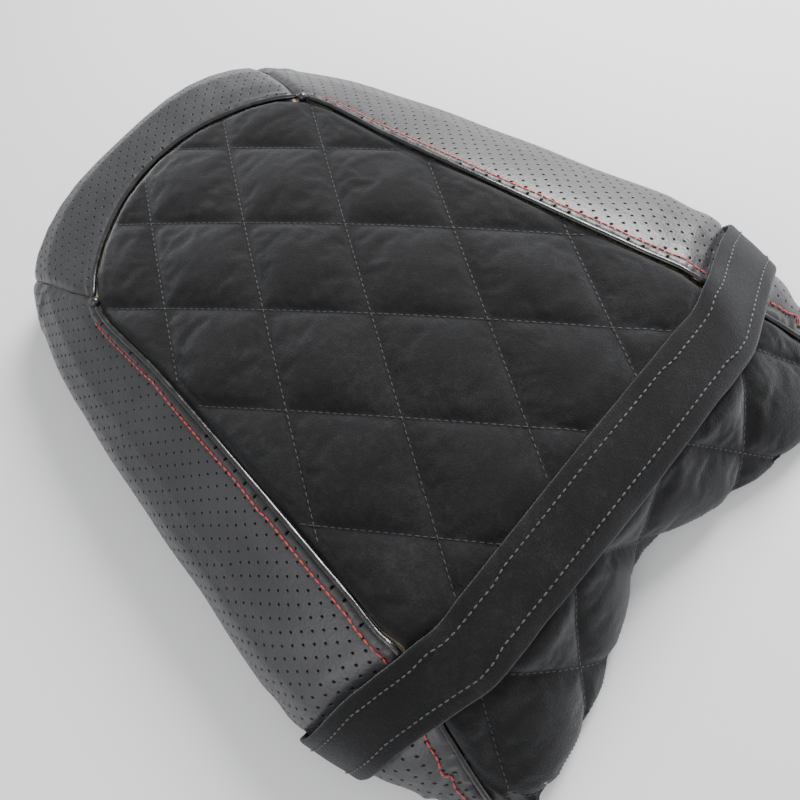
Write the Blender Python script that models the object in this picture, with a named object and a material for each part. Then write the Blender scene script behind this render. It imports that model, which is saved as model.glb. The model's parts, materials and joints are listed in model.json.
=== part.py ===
"""Passenger seat of a sport motorcycle: quilted cover on a foam cushion over a moulded base.

The frame: +Z up, +X to the seat's right side, the tail at +Y and the front edge at -Y. The
origin is under the middle of the seat, on the plane that the rubber bumpers stand on.
"""

import bmesh
import bpy
from math import atan2, cos, hypot, pi, sin
from mathutils import Matrix, Vector
from mathutils.bvhtree import BVHTree

# Overall sizes, in metres
LENGTH = 0.3745            # tail to the foremost point of the front edge
WIDTH = 0.2996             # at the widest part of the rim
HEIGHT = 0.060             # rim to the highest point of the crown
BUMPER_PROUD = 0.006       # bumpers below the rim
CROWN_RADIUS_ACROSS = 0.556
CROWN_RADIUS_ALONG = 3.36
CROWN_PEAK = 0.462         # place of the crown's highest point, as a share of the length
FRONT_ROLL_START = 0.026   # the top starts to roll over this far behind the front edge
FRONT_ROLL_RADIUS = 0.040

# Layers
GAP = 0.0003               # clearance between pieces that touch
COVER = 0.0018             # cover material with its backing
WADDING = 0.0050           # padding sewn behind the quilted panel
PIPING_RADIUS = 0.0014
SEAM_GAP = 0.0004          # between side and tail panels at the corner seams
SEAM_EASE = 0.0017         # extra room for the piping, where the cover bends over the seam
BASE_EASE = 0.0010         # base and foam inside the cover
STEP_EASE = 0.0015         # foam round the base's step
HEM_WIDTH = 0.017          # cover turned under the rim

# Moulded base
WALL = 0.0030
LAND_WIDTH = 0.026         # flat land round the rim, which takes the staples
FRONT_LAND_WIDTH = 0.036   # wider under the sloping front wall
DECK_RISE = 0.020          # land to the underside of the raised deck
UPSTAND_TOP = 1.10         # the base's outer wall ends a little above the crease
RIB_HEIGHT = 0.009
RIB_THICKNESS = 0.0026
RELIEF = 0.003             # ribs cut away round the striker plate
BOSS_RADIUS = 0.0085
BOSS_HEIGHT = 0.010
STRIKER_BOSS_HEIGHT = 0.006

# Fasteners
BOLT_RADIUS = 0.0030
BOLT_CLEARANCE = 0.0004
BOLT_HEAD_RADIUS = 0.0056
BOLT_HEAD_HEIGHT = 0.0033
SOCKET_RADIUS = 0.0023
SOCKET_DEPTH = 0.0020
INSERT_WALL = 0.0014
INSERT_LENGTH = 0.0080

# Passenger strap
STRAP_WIDTH = 0.026
STRAP_THICKNESS = 0.0025
STRAP_FROM_FRONT = 0.0525  # strap centre line behind the foremost point
STRAP_TAIL = 0.030         # run of the strap's end along the deck
STRAP_LEAN = 0.30          # the strap leans towards the tail as it goes down the sides
STRAP_LEAN_START = 0.080   # from this far off the middle
PLATE_THICKNESS = 0.0020

# Striker, hooks and bumpers
STRIKER_FROM_TAIL = 0.075
STRIKER_SPAN = 0.034       # between the centre lines of the loop's legs
STRIKER_DROP = 0.0148      # plate to the centre line of the loop's foot
ROD_RADIUS = 0.0030
ROD_BEND = 0.008
STRIKER_PLATE = (0.074, 0.024, 0.003)
STRIKER_BOLT_SPAN = 0.060
HOOK_SPREAD = 0.045        # hooks either side of the middle
HOOK_FROM_FRONT = 0.085
HOOK_WIDTH = 0.020
HOOK_THICKNESS = 0.0025
HOOK_REACH = 0.022
HOOK_DROP = 0.0125
BUMPER_RADIUS = 0.0115
BUMPER_STEM_RADIUS = 0.0040
BUMPER_STEM = 0.0060
BUMPER_PLACES = {          # across and along, from the middle of the base
    "rear": (0.056, 0.112),
    "front": (0.084, -0.072),
}

# Section stations along the right side, from the middle of the tail to the middle of the
# front. Each gives the seam line (across, along), the crease (across, along, down) and the
# rim (across, along): across in half widths, along in lengths from the tail, down in heights.
STATIONS = (
    ((0.000, 0.139), (0.000, 0.036, 0.200), (0.000, 0.000)),
    ((0.267, 0.163), (0.320, 0.044, 0.233), (0.320, 0.006)),
    ((0.494, 0.235), (0.574, 0.075, 0.450), (0.601, 0.019)),
    ((0.524, 0.371), (0.728, 0.214, 0.517), (0.748, 0.181)),
    ((0.554, 0.497), (0.791, 0.371, 0.500), (0.848, 0.355)),
    ((0.587, 0.622), (0.854, 0.560, 0.500), (0.928, 0.550)),
    ((0.621, 0.742), (0.898, 0.775, 0.517), (1.000, 0.775)),
    ((0.634, 0.812), (0.748, 0.934, 0.667), (0.788, 0.985)),
    ((0.507, 0.874), (0.561, 0.959, 0.667), (0.561, 1.000)),
    ((0.267, 0.897), (0.280, 0.945, 0.633), (0.280, 0.976)),
    ((0.000, 0.892), (0.000, 0.921, 0.600), (0.000, 0.937)),
)
TAIL_CORNER = 2            # station of the seam between side and tail panels
FRONT_CORNER = 7           # station where the side seam runs down the front corner
LAST = len(STATIONS) - 1
STEPS = 3                  # mesh steps between stations

# Heights
RIM_Z = BUMPER_PROUD
CROWN_Z = RIM_Z + HEIGHT
LAND_Z = RIM_Z + COVER + GAP
DECK_Z = LAND_Z + DECK_RISE
BOSS_Z = DECK_Z - BOSS_HEIGHT
STRIKER_BOSS_Z = DECK_Z - STRIKER_BOSS_HEIGHT
TAIL_Y = LENGTH / 2
FRONT_Y = -LENGTH / 2
HUB = Vector((0.0, TAIL_Y - CROWN_PEAK * LENGTH, 0.0))


# ---------------------------------------------------------------- materials and objects

def material(name, colour, roughness, metallic=0.0):
    made = bpy.data.materials.new(name)
    made.use_nodes = True
    shader = made.node_tree.nodes["Principled BSDF"]
    shader.inputs["Base Color"].default_value = (*colour, 1.0)
    shader.inputs["Roughness"].default_value = roughness
    shader.inputs["Metallic"].default_value = metallic
    made.diffuse_color = (*colour, 1.0)
    return made


FINISHES = {
    "suede": ((0.020, 0.020, 0.021), 0.95, 0.0),
    "vinyl": ((0.040, 0.040, 0.042), 0.45, 0.0),
    "piping": ((0.008, 0.008, 0.009), 0.15, 0.0),
    "foam": ((0.620, 0.560, 0.360), 0.95, 0.0),
    "wadding": ((0.350, 0.350, 0.360), 0.98, 0.0),
    "base_plastic": ((0.018, 0.018, 0.019), 0.55, 0.0),
    "rubber": ((0.015, 0.015, 0.015), 0.80, 0.0),
    "zinc_steel": ((0.560, 0.550, 0.500), 0.35, 1.0),
    "black_steel": ((0.030, 0.030, 0.032), 0.40, 1.0),
    "brass": ((0.700, 0.480, 0.180), 0.30, 1.0),
}


def finish(obj, name, slot):
    """Name a modelled object and give it a material of its own."""
    obj.name = name
    obj.data.name = name
    obj.data.materials.clear()
    obj.data.materials.append(material(name, *FINISHES[slot]))
    return obj


def from_bmesh(bm, name, slot, smooth=True):
    mesh = bpy.data.meshes.new(name)
    bm.normal_update()
    bm.to_mesh(mesh)
    bm.free()
    if smooth:
        mesh.shade_smooth()
        mesh.set_sharp_from_angle(angle=0.6)
    obj = bpy.data.objects.new(name, mesh)
    bpy.context.collection.objects.link(obj)
    return finish(obj, name, slot)


def cutter(obj):
    obj.hide_render = True
    obj.display_type = "WIRE"
    return obj


def combine(obj, other, operation):
    """Join to, or cut from, an object with an exact boolean."""
    cutter(other)
    change = obj.modifiers.new(operation.lower(), "BOOLEAN")
    change.operation = operation
    change.solver = "EXACT"
    change.object = other


# ---------------------------------------------------------------- outer form of the seat

def crown(x, y):
    """Height of the seat's top over a point."""
    drop = x * x / (2 * CROWN_RADIUS_ACROSS)
    drop += (y - HUB.y) ** 2 / (2 * CROWN_RADIUS_ALONG)
    roll = max(0.0, FRONT_Y + STRAP_FROM_FRONT - y + FRONT_ROLL_START / 2)
    return CROWN_Z - drop - roll * roll / (2 * FRONT_ROLL_RADIUS)


def station_points(place, reach):
    """The seam, crease and rim points of a station, where the rim's foremost share is reach."""
    (seam_x, seam_y), (crease_x, crease_y, crease_z), (rim_x, rim_y) = place
    half = WIDTH / 2
    along = LENGTH / reach
    seam = Vector((seam_x * half, TAIL_Y - seam_y * along, 0.0))
    seam.z = crown(seam.x, seam.y)
    crease = Vector((crease_x * half, TAIL_Y - crease_y * along, CROWN_Z - crease_z * HEIGHT))
    rim = Vector((rim_x * half, TAIL_Y - rim_y * along, RIM_Z))
    return seam, crease, rim


def curve_point(before, start, end, after, t):
    """Catmull-Rom curve between start and end."""
    near = (end - before) / 2
    far = (after - start) / 2
    a = 2 * t ** 3 - 3 * t ** 2 + 1
    b = t ** 3 - 2 * t ** 2 + t
    c = 3 * t ** 2 - 2 * t ** 3
    d = t ** 3 - t ** 2
    return start * a + near * b + end * c + far * d


def outline(line, u, reach=None):
    """A point of the seam line (0), crease (1) or rim (2), u stations from the tail."""
    reach = reach or REACH
    side = -1.0 if u < 0 else 1.0
    u = min(abs(u), LAST)
    index = min(int(u), LAST - 1)

    def place(number):
        mirrored = number < 0 or number > LAST
        number = abs(number) if number <= LAST else 2 * LAST - number
        point = station_points(STATIONS[number], reach)[line]
        if mirrored:
            point.x = -point.x
        return point

    point = curve_point(*(place(index + k) for k in (-1, 0, 1, 2)), u - index)
    point.x *= side
    return point


def rim_reach():
    """How far along the stations the rim's curve reaches, as a share of the length."""
    foremost = min(outline(2, k / STEPS, 1.0).y for k in range(LAST * STEPS + 1))
    return (TAIL_Y - foremost) / LENGTH


REACH = rim_reach()


def land_width(u):
    """Width of the land, widening towards the front from the last side station."""
    t = min(max(abs(u) - FRONT_CORNER + 1, 0.0), 1.0)
    return LAND_WIDTH + (FRONT_LAND_WIDTH - LAND_WIDTH) * t * t * (3 - 2 * t)


def inward(u, distance, z):
    """A point set in from the rim towards the hub."""
    point = outline(2, u)
    towards = Vector((HUB.x - point.x, HUB.y - point.y, 0.0)).normalized()
    point += towards * distance
    point.z = z
    return point


def skin(u, v):
    """Outer surface: v -1 to 0 crosses the top, to 1 the crease, to 2 the rim, to 3 the hem."""
    if v <= 0:
        edge = outline(0, u)
        point = HUB.lerp(Vector((edge.x, edge.y, 0.0)), 1 + v)
        point.z = crown(point.x, point.y)
        return point
    seam, crease, rim = (outline(line, u) for line in range(3))
    if v <= 2:
        above = seam - (crease - seam) * 0.6
        above.z = seam.z + (seam.z - crease.z) * 0.2
        below = rim - Vector((0.0, 0.0, HEIGHT * 0.4))
        if v <= 1:
            return curve_point(above, seam, crease, rim, v)
        return curve_point(seam, crease, rim, below, v - 1)
    return inward(u, HEM_WIDTH * (v - 2), RIM_Z)


def normal(u, v):
    """Outward direction of the outer surface."""
    if v > 2:
        return Vector((0.0, 0.0, -1.0))
    step = 0.02
    v = max(v, -0.98)
    along = skin(u + step, v) - skin(u - step, v)
    if abs(u) + step > LAST:
        along = Vector((-1.0, 0.0, 0.0))
    if v == 0:
        v = step
    down = skin(u, min(v + step, 2.0)) - skin(u, v - step)
    return along.cross(down).normalized()


def layer(u, v, depth):
    """A point of the outer form, set inwards by a depth."""
    if v > 2:
        point = skin(u, v)
        point.z += depth
        return point
    inner = skin(u, v) - normal(u, v) * depth
    inner.z = max(inner.z, RIM_Z + depth)
    return inner


def above(point, z):
    """A point raised to a height if it lies lower."""
    point.z = max(point.z, z)
    return point


def ring_places():
    """Places round the whole outline, from the middle of the tail and back to it."""
    half = [k / STEPS for k in range(LAST * STEPS + 1)]
    return half + [-u for u in reversed(half[1:-1])]


def face_outwards(bm):
    bmesh.ops.recalc_face_normals(bm, faces=bm.faces)
    if bm.calc_volume(signed=True) < 0:
        bmesh.ops.reverse_faces(bm, faces=bm.faces)


def lofted(bm, rings, close_start=None, close_end=None):
    """Skin closed rings of points, with a fan to a point at either end."""
    made = [[bm.verts.new(p) for p in ring] for ring in rings]
    count = len(made[0])
    for upper, lower in zip(made, made[1:]):
        for k in range(count):
            n = (k + 1) % count
            bm.faces.new((upper[k], lower[k], lower[n]))
            bm.faces.new((upper[k], lower[n], upper[n]))
    for ring, point in ((made[0], close_start), (made[-1], close_end)):
        if point is None:
            continue
        tip = bm.verts.new(point)
        for k in range(count):
            n = (k + 1) % count
            bm.faces.new((tip, ring[k], ring[n]))
    face_outwards(bm)
    return bm


# ---------------------------------------------------------------- cover panels

TOP_LEVELS = [-0.75, -0.5, -0.35, -0.24, -0.15, -0.08]
UPSTAND_LIP = UPSTAND_TOP + 0.03
WALL_LEVELS = [0.35, 0.7, 1.0, UPSTAND_TOP, UPSTAND_LIP, 1.33, 1.67, 2.0, 2.15, 3.0]
SET_BACK = PIPING_RADIUS + GAP + SEAM_EASE


def v_offset(u, v, distance):
    """The change of v that covers a distance over the surface."""
    step = 0.02
    return distance * step / (skin(u, v + step) - skin(u, v)).length


def u_offset(u, v, distance):
    """The change of u that covers a distance over the surface."""
    step = 0.02
    return distance * step / (skin(u + step, v) - skin(u, v)).length


def panel(name, slot, corners, place):
    """A closed panel of cover material from a grid of cells.

    corners lists the cells' corner keys, and place turns a key into (u, v)."""
    bm = bmesh.new()
    outer = {}
    inner = {}
    for cell in corners:
        for key in cell:
            if key not in outer:
                u, v = place(key)
                outer[key] = bm.verts.new(layer(u, v, 0.0))
                inner[key] = bm.verts.new(layer(u, v, COVER))
    edges = {}
    for cell in corners:
        for third in range(2, len(cell)):
            corner = (cell[0], cell[third - 1], cell[third])
            bm.faces.new([outer[key] for key in corner])
            bm.faces.new([inner[key] for key in reversed(corner)])
        for start, end in zip(cell, cell[1:] + cell[:1]):
            edges[(start, end)] = True
    for start, end in edges:
        if (end, start) not in edges:
            bm.faces.new((outer[end], outer[start], inner[start], inner[end]))
    face_outwards(bm)
    return from_bmesh(bm, name, slot)


def top_panel():
    """The quilted panel: the whole top, and the front wall between the front corners."""
    places = ring_places()
    levels = [-1.0] + TOP_LEVELS + [0.0] + WALL_LEVELS
    seam = levels.index(0.0)
    count = len(places)

    def place(key):
        i, j = key
        u, v = places[i], levels[j]
        if j == seam and abs(u) <= FRONT_CORNER:
            v -= v_offset(u, -0.05, SET_BACK)
        if j >= seam and abs(u) == FRONT_CORNER:
            u += u_offset(u, max(v, 0.05), SET_BACK) * (1 if u > 0 else -1)
        return u, v

    cells = []
    for i in range(count):
        n = (i + 1) % count
        front = min(abs(places[i]), abs(places[n])) >= FRONT_CORNER
        for j in range(len(levels) - 1):
            if j >= seam and not front:
                continue
            if j == 0:
                cells.append([(0, 0), (i, 1), (n, 1)])
            else:
                cells.append([(i, j), (i, j + 1), (n, j + 1), (n, j)])
    return panel("top_panel", "suede", cells, place)


def wall_panel(name, start, end):
    """A perforated panel between two stations, from the seam line to the hem."""
    steps = (end - start) * STEPS
    levels = [0.0] + WALL_LEVELS

    def place(key):
        i, j = key
        u, v = start + i / STEPS, levels[j]
        if j == 0:
            v += v_offset(u, 0.0, SET_BACK)
        reach = {TAIL_CORNER: SEAM_GAP / 2, FRONT_CORNER: SET_BACK}
        if i in (0, steps):
            distance = reach[abs(int(u))]
            u += u_offset(u, max(v, 0.05), distance) * (1 if i == 0 else -1)
        return u, v

    cells = []
    for i in range(steps):
        for j in range(len(levels) - 1):
            cells.append([(i, j), (i, j + 1), (i + 1, j + 1), (i + 1, j)])
    return panel(name, "vinyl", cells, place)


def piping(name, route):
    """A bead of piping along a route of (u, v) places, half sunk between two panels."""
    data = bpy.data.curves.new(name, "CURVE")
    data.dimensions = "3D"
    spline = data.splines.new("POLY")
    spline.points.add(len(route) - 1)
    for point, (u, v) in zip(spline.points, route):
        point.co = (*layer(u, v, COVER - PIPING_RADIUS), 1.0)
    data.bevel_depth = PIPING_RADIUS
    data.bevel_resolution = 2
    data.use_fill_caps = True
    obj = bpy.data.objects.new(name, data)
    bpy.context.collection.objects.link(obj)
    return finish(obj, name, "piping")


def side_route(side):
    """Along the side seam, then down the front corner to the rim."""
    first = TAIL_CORNER + 0.06
    route = [(side * first, 0.0)]
    route += [(side * k / STEPS, 0.0) for k in range(TAIL_CORNER * STEPS + 1, FRONT_CORNER * STEPS + 1)]
    route += [(side * FRONT_CORNER, v) for v in WALL_LEVELS if v < 2]
    return route


def tail_route():
    last = TAIL_CORNER - 0.06
    steps = range(1 - TAIL_CORNER * STEPS, TAIL_CORNER * STEPS)
    return [(-last, 0.0)] + [(k / STEPS, 0.0) for k in steps] + [(last, 0.0)]


# ---------------------------------------------------------------- padding

def quilt_wadding():
    levels = TOP_LEVELS[:-1]
    places = ring_places()
    under = COVER + GAP
    rings = [[layer(u, v, under) for u in places] for v in levels]
    rings += [[layer(u, v, under + WADDING) for u in places] for v in reversed(levels)]
    bm = lofted(bmesh.new(), rings, layer(0, -1, under), layer(0, -1, under + WADDING))
    return from_bmesh(bm, "quilt_wadding", "wadding")


def foam_cushion():
    """The cushion, with a pocket for the wadding and a foot that sits in the base."""
    places = ring_places()
    shallow = COVER + BASE_EASE + GAP
    deep = shallow + WADDING + GAP
    inside_wall = COVER + BASE_EASE + WALL + BASE_EASE * 1.6
    profile = [(v, deep) for v in TOP_LEVELS[:-1]]
    profile += [(TOP_LEVELS[-2] + 0.03, deep), (TOP_LEVELS[-1], shallow)]
    profile += [(0.0, shallow), (0.35, shallow), (0.7, shallow), (1.0, shallow)]
    profile += [(UPSTAND_TOP, shallow), (UPSTAND_TOP + 0.01, inside_wall)]
    profile += [(1.33, inside_wall)]
    foot_z = LAND_Z + WALL + GAP
    rings = [[above(layer(u, v, depth), foot_z + BASE_EASE) for u in places] for v, depth in profile]
    deck_z = DECK_Z + WALL + GAP
    edge = [layer(u, 1.75, inside_wall) for u in places]
    for point in edge:
        point.z = foot_z
    step = WALL + STEP_EASE
    rings += [edge]
    rings += [[inward(u, land_width(u) - step, foot_z) for u in places]]
    rings += [[inward(u, land_width(u) - step, deck_z) for u in places]]
    bm = lofted(bmesh.new(), rings, layer(0, -1, deep), Vector((0.0, HUB.y, deck_z)))
    return from_bmesh(bm, "foam_cushion", "foam")


# ---------------------------------------------------------------- moulded base

def boss(name, x, y, radius, z_low, z_high):
    bm = bmesh.new()
    bmesh.ops.create_cone(
        bm, cap_ends=True, segments=24, radius1=radius, radius2=radius + 0.0006,
        depth=z_high - z_low,
        matrix=Matrix.Translation((x, y, (z_low + z_high) / 2)))
    return from_bmesh(bm, name, "base_plastic")


def block(name, low, high):
    bm = bmesh.new()
    size = Vector(high) - Vector(low)
    middle = (Vector(high) + Vector(low)) / 2
    matrix = Matrix.Translation(middle) @ Matrix.Diagonal((*size, 1.0))
    bmesh.ops.create_cube(bm, size=1.0, matrix=matrix)
    return from_bmesh(bm, name, "base_plastic", smooth=False)


def crossings(points, axis, value):
    """Where a closed outline crosses a line, as the low and high other coordinate."""
    other = 1 - axis
    found = []
    for a, b in zip(points, points[1:] + points[:1]):
        if (a[axis] - value) * (b[axis] - value) < 0:
            t = (value - a[axis]) / (b[axis] - a[axis])
            found.append(a[other] + t * (b[other] - a[other]))
    return min(found), max(found)


def base_shell():
    """The pressed-up dish: rim wall, staple land, step and raised deck."""
    places = ring_places()
    outside = COVER + BASE_EASE
    inside = outside + WALL
    outer_levels = [1.67, 1.33, UPSTAND_LIP]
    inner_levels = [UPSTAND_LIP, 1.33]
    rings = [[inward(u, land_width(u), DECK_Z) for u in places]]
    rings += [[inward(u, land_width(u), LAND_Z) for u in places]]
    foot = [layer(u, 1.97, outside) for u in places]
    for point in foot:
        point.z = LAND_Z
    rings += [foot]
    rings += [[layer(u, v, outside) for u in places] for v in outer_levels]
    floor = LAND_Z + WALL + BASE_EASE
    rings += [[above(layer(u, v, inside), floor) for u in places] for v in inner_levels]
    heel = [layer(u, 1.85, inside) for u in places]
    for point in heel:
        point.z = LAND_Z + WALL
    rings += [heel]
    rings += [[inward(u, land_width(u) - WALL, LAND_Z + WALL) for u in places]]
    rings += [[inward(u, land_width(u) - WALL, DECK_Z + WALL) for u in places]]
    low = Vector((0.0, HUB.y, DECK_Z))
    high = Vector((0.0, HUB.y, DECK_Z + WALL))
    bm = lofted(bmesh.new(), rings, low, high)
    return from_bmesh(bm, "seat_pan", "base_plastic")


RIBS_ACROSS = (0.135, 0.085, 0.020, -0.045, -0.098)
RIBS_ALONG = (-0.075, -0.028, 0.028, 0.075)


def fixing_points():
    """Every boss on the deck: across, along, boss radius, bore radius and lower end."""
    insert = BOLT_RADIUS + BOLT_CLEARANCE + INSERT_WALL + GAP
    places = {}
    strap_x = strap_fixing_x()
    for side, word in ((-1, "left"), (1, "right")):
        places["strap_" + word] = (side * strap_x, STRAP_FOOT_Y, BOSS_RADIUS, insert, BOSS_Z)
        places["hook_" + word] = (side * HOOK_SPREAD, HOOK_Y, BOSS_RADIUS, insert, BOSS_Z)
        striker_x = side * STRIKER_BOLT_SPAN / 2
        places["striker_" + word] = (striker_x, STRIKER_Y, BOSS_RADIUS, insert, STRIKER_BOSS_Z)
        for end, (x, y) in BUMPER_PLACES.items():
            name = "bumper_" + end + "_" + word
            stem = BUMPER_STEM_RADIUS + GAP
            places[name] = (side * x, y, BUMPER_RADIUS + 0.001, stem, BOSS_Z)
    return places


def seat_pan():
    pan = base_shell()
    deck = [inward(u, land_width(u), DECK_Z) for u in ring_places()]
    bite = WALL / 2
    for k, y in enumerate(RIBS_ACROSS):
        low, high = crossings([(p.x, p.y) for p in deck], 1, y)
        half = RIB_THICKNESS / 2
        rib = block("rib_across_%d" % k, (low - bite, y - half, DECK_Z - RIB_HEIGHT),
                    (high + bite, y + half, DECK_Z + bite))
        combine(pan, rib, "UNION")
    for k, x in enumerate(RIBS_ALONG):
        low, high = crossings([(p.x, p.y) for p in deck], 0, x)
        half = RIB_THICKNESS / 2
        rib = block("rib_along_%d" % k, (x - half, low - bite, DECK_Z - RIB_HEIGHT * 0.9),
                    (x + half, high + bite, DECK_Z + bite * 0.8))
        combine(pan, rib, "UNION")
    reach_x = STRIKER_PLATE[0] / 2 + RELIEF
    reach_y = STRIKER_PLATE[1] / 2 + RELIEF
    relief = block("striker_relief", (-reach_x, STRIKER_Y - reach_y, DECK_Z - 2 * RIB_HEIGHT),
                   (reach_x, STRIKER_Y + reach_y, STRIKER_BOSS_Z + GAP))
    combine(pan, relief, "DIFFERENCE")
    for name, (x, y, radius, bore, low) in fixing_points().items():
        post = boss("boss_" + name, x, y, radius, low, DECK_Z + bite * 0.6)
        combine(pan, post, "UNION")
    for name, (x, y, radius, bore, low) in fixing_points().items():
        depth = BUMPER_STEM if name.startswith("bumper") else INSERT_LENGTH
        hole = boss("bore_" + name, x, y, bore, low - WALL, low + depth + GAP)
        combine(pan, hole, "DIFFERENCE")
    return pan


# ---------------------------------------------------------------- turned parts

def turned(name, slot, x, y, profile, segments=16):
    """A closed turned part: profile lists (radius, height) from the axis back to the axis."""
    bm = bmesh.new()
    rings = []
    for radius, z in profile:
        if radius > 0:
            ring = [Vector((x + radius * cos(2 * pi * k / segments),
                            y + radius * sin(2 * pi * k / segments), z))
                    for k in range(segments)]
            rings.append(ring)
    solid = profile[0][0] == 0
    first = Vector((x, y, profile[0][1])) if solid else None
    last = Vector((x, y, profile[-1][1])) if solid else None
    if not solid:
        rings.append(rings[0])
    lofted(bm, rings, first, last)
    if not solid:
        bmesh.ops.remove_doubles(bm, verts=bm.verts, dist=0.00001)
        face_outwards(bm)
    return from_bmesh(bm, name, slot)


def bolt(name, x, y, seat_z, grip, slot="zinc_steel"):
    """A button-head bolt, pointing up, its head's bearing face at seat_z."""
    top = seat_z + grip + INSERT_LENGTH - 2 * GAP
    low = seat_z - BOLT_HEAD_HEIGHT
    floor = low + SOCKET_DEPTH
    profile = [
        (0, floor),
        (SOCKET_RADIUS, floor),
        (SOCKET_RADIUS, low),
        (BOLT_HEAD_RADIUS * 0.62, low),
        (BOLT_HEAD_RADIUS * 0.92, low + BOLT_HEAD_HEIGHT * 0.4),
        (BOLT_HEAD_RADIUS, seat_z),
        (BOLT_RADIUS, seat_z),
        (BOLT_RADIUS, top - 0.0005),
        (BOLT_RADIUS - 0.0005, top),
        (0, top),
    ]
    return turned(name, slot, x, y, profile)


def insert(name, x, y, boss_z=BOSS_Z):
    """A threaded brass insert in a boss."""
    bore = BOLT_RADIUS + BOLT_CLEARANCE
    outer = bore + INSERT_WALL
    low = boss_z + GAP
    high = boss_z + INSERT_LENGTH
    profile = [(bore, low), (outer, low), (outer, high), (bore, high)]
    return turned(name, "brass", x, y, profile)


def bumper(name, x, y):
    """A rubber foot pushed into its boss by the stem."""
    seat = BOSS_Z - GAP
    edge = 0.0015
    profile = [
        (0, 0.0),
        (BUMPER_RADIUS * 0.80, 0.0),
        (BUMPER_RADIUS * 0.80 + edge, edge),
        (BUMPER_RADIUS, seat - 2 * edge),
        (BUMPER_RADIUS, seat),
        (BUMPER_STEM_RADIUS, seat),
        (BUMPER_STEM_RADIUS, seat + BUMPER_STEM - edge),
        (BUMPER_STEM_RADIUS - edge, seat + BUMPER_STEM),
        (0, seat + BUMPER_STEM),
    ]
    return turned(name, "rubber", x, y, profile)


# ---------------------------------------------------------------- passenger strap

STRAP_Y = FRONT_Y + STRAP_FROM_FRONT
STRIKER_Y = TAIL_Y - STRIKER_FROM_TAIL
HOOK_Y = FRONT_Y + HOOK_FROM_FRONT
STRAP_WALL_X = WIDTH / 2 * 0.82    # the strap's line turns from the top to the wall here
STRAP_FOOT_Y = STRAP_Y + STRAP_LEAN * (STRAP_WALL_X - STRAP_LEAN_START + HEIGHT * 0.6)
STRAP_GAP = 2 * PIPING_RADIUS - COVER + 3 * GAP   # over the piping


def skin_tree():
    """The outer surface as a search tree, for laying the strap on it."""
    places = ring_places()
    levels = [-0.8, -0.6, -0.4, -0.2, -0.1, 0.0, 0.15, 0.3, 0.5, 0.7, 0.85, 1.0, 1.25, 1.5, 1.75, 2.0]
    bm = bmesh.new()
    lofted(bm, [[skin(u, v) for u in places] for v in levels], skin(0, -1))
    for face in bm.faces:
        if face.normal.z < 0:
            face.normal_flip()
    tree = BVHTree.FromBMesh(bm)
    bm.free()
    return tree


def land_edge_x(y):
    """Half width of the land's inner edge at a place along the seat."""
    deck = [inward(u, land_width(u), DECK_Z) for u in ring_places()]
    return crossings([(p.x, p.y) for p in deck], 1, y)[1]


def strap_shift(x, drop):
    """How far the strap has leant towards the tail at x, after a drop down the wall."""
    return STRAP_LEAN * (max(0.0, x - STRAP_LEAN_START) + drop)


def strap_turn_x():
    """Where the strap turns up beside the land: clear of it over the strap's whole width."""
    return min(land_edge_x(STRAP_FOOT_Y + end * STRAP_WIDTH / 2) for end in (-1, 1))


def strap_fixing_x():
    return strap_turn_x() - STRAP_TAIL / 2 - STRAP_THICKNESS - STRAP_GAP


def strap_line(tree, y, height):
    """Half of a strap line, at a height over the surface: over the top, round the rim to the base."""
    points = []
    steps = 18
    for k in range(steps + 1):
        x = STRAP_WALL_X * k / steps
        start = Vector((x, y + strap_shift(x, 0.0), 1.0))
        hit, facing, _, _ = tree.ray_cast(start, Vector((0, 0, -1)))
        points.append(hit + facing * height)
    points[0].x = 0.0
    wall_top = hit.z
    for k in range(1, 6):
        z = wall_top + (RIM_Z + 0.0005 - wall_top) * k / 5
        start = Vector((1.0, y + strap_shift(STRAP_WALL_X, wall_top - z), z))
        hit, facing, _, _ = tree.ray_cast(start, Vector((-1, 0, 0)))
        points.append(hit + facing * height)
    rim_x = hit.x
    y += STRAP_FOOT_Y - STRAP_Y
    under = RIM_Z - height
    points.append(Vector((rim_x + height * 0.7, y, RIM_Z - height * 0.7)))
    points.append(Vector((rim_x - 0.001, y, under)))
    inner = strap_turn_x() - height
    points.append(Vector((inner + 0.003, y, under)))
    points.append(Vector((inner, y, under + 0.003)))
    roof = BOSS_Z - (height - STRAP_GAP) - GAP
    points.append(Vector((inner, y, roof - 0.003)))
    points.append(Vector((inner - 0.003, y, roof)))
    points.append(Vector((strap_fixing_x() - STRAP_TAIL / 2, y, roof)))
    return points


def passenger_strap():
    tree = skin_tree()
    rows = 5
    lines = {}
    for height in (STRAP_GAP, STRAP_GAP + STRAP_THICKNESS):
        for row in range(rows):
            y = STRAP_Y + STRAP_WIDTH * (row / (rows - 1) - 0.5)
            half = strap_line(tree, y, height)
            left = [Vector((-p.x, p.y, p.z)) for p in reversed(half[1:])]
            lines[(height, row)] = left + half
    low = [lines[(STRAP_GAP, row)] for row in range(rows)]
    high = [lines[(STRAP_GAP + STRAP_THICKNESS, row)] for row in reversed(range(rows))]
    loops = [list(section) for section in zip(*low, *high)]
    bm = bmesh.new()
    lofted(bm, loops)
    for loop in (bm.verts[:] [: 2 * rows], bm.verts[:][-2 * rows:]):
        bm.faces.new(loop)
    face_outwards(bm)
    strap = from_bmesh(bm, "passenger_strap", "suede")
    for side, word in ((-1, "left"), (1, "right")):
        hole = boss("strap_hole_" + word, side * strap_fixing_x(), STRAP_FOOT_Y,
                    BOLT_RADIUS + BOLT_CLEARANCE, BOSS_Z - 0.010, BOSS_Z + 0.002)
        combine(strap, hole, "DIFFERENCE")
    return strap


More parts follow.
